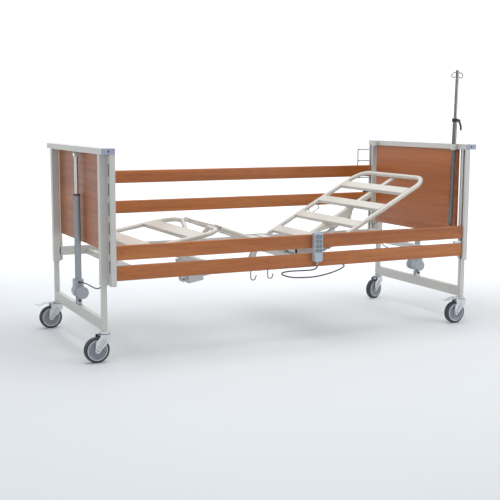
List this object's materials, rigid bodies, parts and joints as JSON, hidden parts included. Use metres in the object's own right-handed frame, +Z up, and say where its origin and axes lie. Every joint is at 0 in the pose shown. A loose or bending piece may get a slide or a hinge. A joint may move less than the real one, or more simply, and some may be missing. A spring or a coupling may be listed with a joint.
{
  "type": "adjustable hospital bed",
  "caption": "Height-adjustable care bed with sectioned steel deck, wooden ends and side rails, lifting columns, braked casters, hand control and infusion pole.",
  "frame": {"origin": "floor level, under the middle of the bed's overall box", "axes": "+X towards the head end, +Y towards the far side, +Z up"},
  "size_m": [2.3066, 1.0152, 1.4461],
  "materials": {
    "frame_steel": "satin warm-grey powder coat",
    "deck_steel": "satin off-white powder coat",
    "rail_wood": "satin cherry",
    "panel_wood": "satin cherry veneer",
    "zinc": "bright zinc plate",
    "chrome": "polished",
    "column": "anodised blue grey",
    "motor": "fine texture",
    "cap": "blue grey",
    "dark": "black",
    "tyre": "grey rubber",
    "handset": "light blue grey",
    "cord": "black"
  },
  "bodies": {
    "foot_base": {"foot_leg_frame": "frame_steel", "foot_lift_motor": "motor", "foot_lift_tube": "column", "foot_motor_lead": "cord"},
    "head_base": {"head_leg_frame": "frame_steel", "head_lift_motor": "motor", "head_lift_tube": "column", "head_motor_lead": "cord"},
    "upper_frame": {"foot_end_frame": "frame_steel", "head_end_frame": "frame_steel", "foot_panel": "panel_wood", "head_panel": "panel_wood", "end_caps": "cap", "chassis_frame": "frame_steel", "deck_pins": "zinc", "foot_lift_rod": "chrome", "head_lift_rod": "chrome", "control_box": "motor", "iv_pole_tube": "chrome", "drainage_hooks": "zinc", "wire_rack": "zinc", "handset_cord": "cord"},
    "backrest": {"backrest_frame": "deck_steel", "mattress_loops": "zinc"},
    "thigh": {"thigh_frame": "deck_steel", "knee_pins": "zinc"},
    "calf": {"calf_frame": "deck_steel"},
    "back_motor": {"back_motor": "motor"},
    "back_rod": {"back_rod": "chrome"},
    "thigh_motor": {"thigh_motor": "motor"},
    "thigh_rod": {"thigh_rod": "chrome"},
    "near_upper_rail": {"near_upper_rail": "rail_wood", "near_upper_sliders": "dark"},
    "near_lower_rail": {"near_lower_rail": "rail_wood", "near_lower_sliders": "dark"},
    "far_upper_rail": {"far_upper_rail": "rail_wood", "far_upper_sliders": "dark"},
    "far_lower_rail": {"far_lower_rail": "rail_wood", "far_lower_sliders": "dark"},
    "iv_pole_rod": {"iv_pole_rod": "chrome"},
    "iv_clamp_lever": {"iv_clamp_lever": "dark"},
    "handset": {"handset_body": "handset"},
    "handset_key_1": {"handset_key_1": "motor"},
    "handset_key_2": {"handset_key_2": "motor"},
    "handset_key_3": {"handset_key_3": "motor"},
    "handset_key_4": {"handset_key_4": "motor"},
    "caster_foot_near": {"fork_foot_near": "zinc"},
    "wheel_foot_near": {"wheel_foot_near": "tyre"},
    "button_foot_near": {"button_foot_near": "dark"},
    "caster_foot_far": {"fork_foot_far": "zinc"},
    "wheel_foot_far": {"wheel_foot_far": "tyre"},
    "button_foot_far": {"button_foot_far": "dark"},
    "pedal_foot_far": {"pedal_foot_far": "zinc"},
    "caster_head_near": {"fork_head_near": "zinc"},
    "wheel_head_near": {"wheel_head_near": "tyre"},
    "button_head_near": {"button_head_near": "dark"},
    "pedal_head_near": {"pedal_head_near": "zinc"},
    "caster_head_far": {"fork_head_far": "zinc"},
    "wheel_head_far": {"wheel_head_far": "tyre"},
    "button_head_far": {"button_head_far": "dark"}
  },
  "joints": [
    {"name": "lift", "type": "slide", "parent": "foot_base", "child": "upper_frame", "axis": [0, 0, 1], "range_m": [-0.16, 0.24]},
    {"name": "head_lift", "type": "slide", "parent": "upper_frame", "child": "head_base", "axis": [0, 0, 1], "range_m": [-0.24, 0.16]},
    {"name": "backrest_tilt", "type": "hinge", "parent": "upper_frame", "child": "backrest", "pos_m": [0.24869, 0.0071, 0.467], "axis": [0, -1, 0], "range_deg": [-28.5, 41.5]},
    {"name": "thigh_tilt", "type": "hinge", "parent": "upper_frame", "child": "thigh", "pos_m": [0.04869, 0.0071, 0.467], "axis": [0, 1, 0], "range_deg": [-19.5, 16]},
    {"name": "calf_tilt", "type": "hinge", "parent": "thigh", "child": "calf", "pos_m": [-0.33591, 0.0071, 0.60319], "axis": [0, 1, 0], "range_deg": [-24.6, 29.9]},
    {"name": "back_motor_pivot", "type": "hinge", "parent": "upper_frame", "child": "back_motor", "pos_m": [0.26369, 0.0071, 0.365], "axis": [0, -1, 0], "range_deg": [-25.1, 36.6]},
    {"name": "back_rod_travel", "type": "slide", "parent": "back_motor", "child": "back_rod", "axis": [0.8355, 0, 0.5495], "range_m": [-0.0429, 0.0624]},
    {"name": "thigh_motor_pivot", "type": "hinge", "parent": "upper_frame", "child": "thigh_motor", "pos_m": [-0.44131, 0.0071, 0.3], "axis": [0, 1, 0], "range_deg": [-3.25, 3.95]},
    {"name": "thigh_rod_travel", "type": "slide", "parent": "thigh_motor", "child": "thigh_rod", "axis": [0.9853, 0, 0.1709], "range_m": [-0.0228, 0.0278]},
    {"name": "near_rail_lift", "type": "slide", "parent": "upper_frame", "child": "near_upper_rail", "axis": [0, 0, 1], "range_m": [0, 0.3]},
    {"name": "near_lower_rail_lift", "type": "slide", "parent": "upper_frame", "child": "near_lower_rail", "axis": [0, 0, 1], "range_m": [0, 0.225]},
    {"name": "far_rail_lift", "type": "slide", "parent": "upper_frame", "child": "far_upper_rail", "axis": [0, 0, 1], "range_m": [-0.3, 0]},
    {"name": "far_lower_rail_lift", "type": "slide", "parent": "upper_frame", "child": "far_lower_rail", "axis": [0, 0, 1], "range_m": [-0.225, 0]},
    {"name": "iv_pole_extend", "type": "slide", "parent": "upper_frame", "child": "iv_pole_rod", "axis": [0.0209, 0, 0.9998], "range_m": [-0.22, 0.3]},
    {"name": "iv_clamp_swing", "type": "hinge", "parent": "upper_frame", "child": "iv_clamp_lever", "pos_m": [1.08885, -0.3929, 1.16548], "axis": [0, -1, 0], "range_deg": [0, 80]},
    {"name": "handset_unhook", "type": "slide", "parent": "near_upper_rail", "child": "handset", "axis": [0, 0, 1], "range_m": [0, 0.03]},
    {"name": "rock_key_1", "type": "hinge", "parent": "handset", "child": "handset_key_1", "pos_m": [0.11669, -0.5064, 0.561], "axis": [1, 0, 0], "range_deg": [-4, 4], "stiffness_Nm_per_rad": 0.1},
    {"name": "rock_key_2", "type": "hinge", "parent": "handset", "child": "handset_key_2", "pos_m": [0.11669, -0.5064, 0.537], "axis": [1, 0, 0], "range_deg": [-4, 4], "stiffness_Nm_per_rad": 0.1},
    {"name": "rock_key_3", "type": "hinge", "parent": "handset", "child": "handset_key_3", "pos_m": [0.11669, -0.5064, 0.513], "axis": [1, 0, 0], "range_deg": [-4, 4], "stiffness_Nm_per_rad": 0.1},
    {"name": "rock_key_4", "type": "hinge", "parent": "handset", "child": "handset_key_4", "pos_m": [0.11669, -0.5064, 0.489], "axis": [1, 0, 0], "range_deg": [-4, 4], "stiffness_Nm_per_rad": 0.1},
    {"name": "swivel_foot_near", "type": "hinge", "parent": "foot_base", "child": "caster_foot_near", "pos_m": [-1.02631, -0.4199, 0.1394], "axis": [0, 0, 1], "continuous": true},
    {"name": "roll_foot_near", "type": "hinge", "parent": "caster_foot_near", "child": "wheel_foot_near", "pos_m": [-1.06631, -0.4199, 0.0625], "axis": [0, 1, 0], "continuous": true},
    {"name": "press_foot_near", "type": "slide", "parent": "upper_frame", "child": "button_foot_near", "axis": [0, 1, 0], "range_m": [0, 0.005], "stiffness_N_per_m": 400},
    {"name": "swivel_foot_far", "type": "hinge", "parent": "foot_base", "child": "caster_foot_far", "pos_m": [-1.02631, 0.4341, 0.1394], "axis": [0, 0, 1], "continuous": true},
    {"name": "roll_foot_far", "type": "hinge", "parent": "caster_foot_far", "child": "wheel_foot_far", "pos_m": [-1.06631, 0.4341, 0.0625], "axis": [0, 1, 0], "continuous": true},
    {"name": "press_foot_far", "type": "slide", "parent": "upper_frame", "child": "button_foot_far", "axis": [0, -1, 0], "range_m": [0, 0.005], "stiffness_N_per_m": 400},
    {"name": "brake_foot_far", "type": "hinge", "parent": "caster_foot_far", "child": "pedal_foot_far", "pos_m": [-1.06131, 0.4341, 0.1444], "axis": [0, -1, 0], "range_deg": [0, 8]},
    {"name": "swivel_head_near", "type": "hinge", "parent": "head_base", "child": "caster_head_near", "pos_m": [1.12369, -0.4199, 0.1394], "axis": [0, 0, 1], "continuous": true},
    {"name": "roll_head_near", "type": "hinge", "parent": "caster_head_near", "child": "wheel_head_near", "pos_m": [1.08369, -0.4199, 0.0625], "axis": [0, 1, 0], "continuous": true},
    {"name": "press_head_near", "type": "slide", "parent": "upper_frame", "child": "button_head_near", "axis": [0, 1, 0], "range_m": [0, 0.005], "stiffness_N_per_m": 400},
    {"name": "brake_head_near", "type": "hinge", "parent": "caster_head_near", "child": "pedal_head_near", "pos_m": [1.08869, -0.4199, 0.1444], "axis": [0, -1, 0], "range_deg": [0, 8]},
    {"name": "swivel_head_far", "type": "hinge", "parent": "head_base", "child": "caster_head_far", "pos_m": [1.12369, 0.4341, 0.1394], "axis": [0, 0, 1], "continuous": true},
    {"name": "roll_head_far", "type": "hinge", "parent": "caster_head_far", "child": "wheel_head_far", "pos_m": [1.08565, 0.42174, 0.0625], "axis": [-0.309, 0.9511, 0], "continuous": true},
    {"name": "press_head_far", "type": "slide", "parent": "upper_frame", "child": "button_head_far", "axis": [0, -1, 0], "range_m": [0, 0.005], "stiffness_N_per_m": 400}
  ],
  "couplings": [
    {"joint": "head_lift", "follows": "lift", "ratio": -1},
    {"joint": "calf_tilt", "follows": "thigh_tilt", "ratio": -1.5128},
    {"joint": "thigh_motor_pivot", "follows": "thigh_tilt", "ratio": -0.199},
    {"joint": "thigh_rod_travel", "follows": "thigh_tilt", "m_per_rad": -0.08125},
    {"joint": "back_motor_pivot", "follows": "backrest_tilt", "ratio": 0.87906},
    {"joint": "back_rod_travel", "follows": "backrest_tilt", "m_per_rad": 0.08605},
    {"joint": "near_lower_rail_lift", "follows": "near_rail_lift", "ratio": 0.75},
    {"joint": "far_lower_rail_lift", "follows": "far_rail_lift", "ratio": 0.75}
  ]
}
